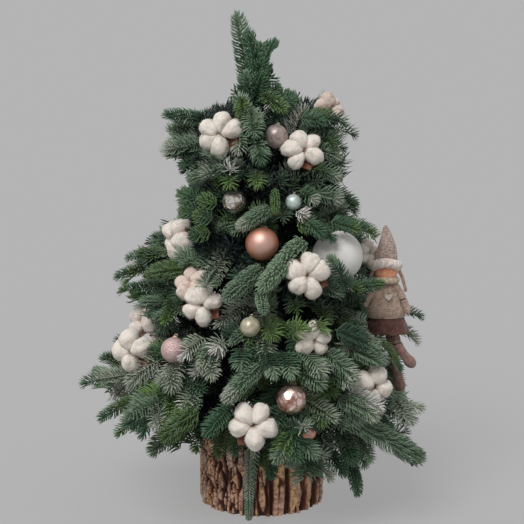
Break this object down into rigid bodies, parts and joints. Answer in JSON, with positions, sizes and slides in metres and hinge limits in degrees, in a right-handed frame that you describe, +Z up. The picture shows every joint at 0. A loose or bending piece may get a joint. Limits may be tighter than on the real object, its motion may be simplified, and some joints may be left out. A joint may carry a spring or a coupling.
{
  "type": "tabletop christmas tree",
  "caption": "Tabletop Christmas tree: tiers of fir sprigs on boughs round a short tapering trunk that stands upright in a bark-covered slice of log.",
  "frame": {"origin": "centre of the log's flat underside", "axes": "+Z up the trunk, -Y the front of the tree, +X to the right of someone who faces the front"},
  "size_m": [0.3988, 0.3926, 0.578],
  "materials": {
    "log_bark": "rough, deeply furrowed bark",
    "bark": "matt young bark",
    "needles": "waxy, blue-green above and pale beneath",
    "cotton": "fluffy, matt",
    "ornament": "satin to mirror-bright",
    "felt": "felted and knitted wool"
  },
  "bodies": {
    "root": {"log": "log_bark", "trunk": "bark", "leader": "needles", "collar_1": "needles", "collar_2": "needles", "collar_3": "needles", "collar_4": "needles", "collar_5": "needles", "shoulder_1": "needles", "shoulder_2": "needles", "shoulder_3": "needles", "shoulder_4": "needles", "shoulder_5": "needles", "shoulder_6": "needles", "breast_1": "needles", "breast_2": "needles", "breast_3": "needles", "breast_4": "needles", "breast_5": "needles", "breast_6": "needles", "waist_1": "needles", "waist_2": "needles", "waist_3": "needles", "waist_4": "needles", "waist_5": "needles", "waist_6": "needles", "hip_1_bough": "bark", "hip_1": "needles", "hip_2_bough": "bark", "hip_2": "needles", "hip_3_bough": "bark", "hip_3": "needles", "hip_4_bough": "bark", "hip_4": "needles", "hip_5_bough": "bark", "hip_5": "needles", "hip_6_bough": "bark", "hip_6": "needles", "hem_1_bough": "bark", "hem_1": "needles", "hem_2_bough": "bark", "hem_2": "needles", "hem_3_bough": "bark", "hem_3": "needles", "hem_4_bough": "bark", "hem_4": "needles", "hem_5_bough": "bark", "hem_5": "needles", "hem_6_bough": "bark", "hem_6": "needles", "hem_7_bough": "bark", "hem_7": "needles", "skirt_1": "needles", "skirt_2": "needles", "skirt_3": "needles", "skirt_4": "needles", "skirt_5": "needles", "skirt_6": "needles", "front_sprig": "needles", "right_sprig": "needles"}
  },
  "joints": []
}
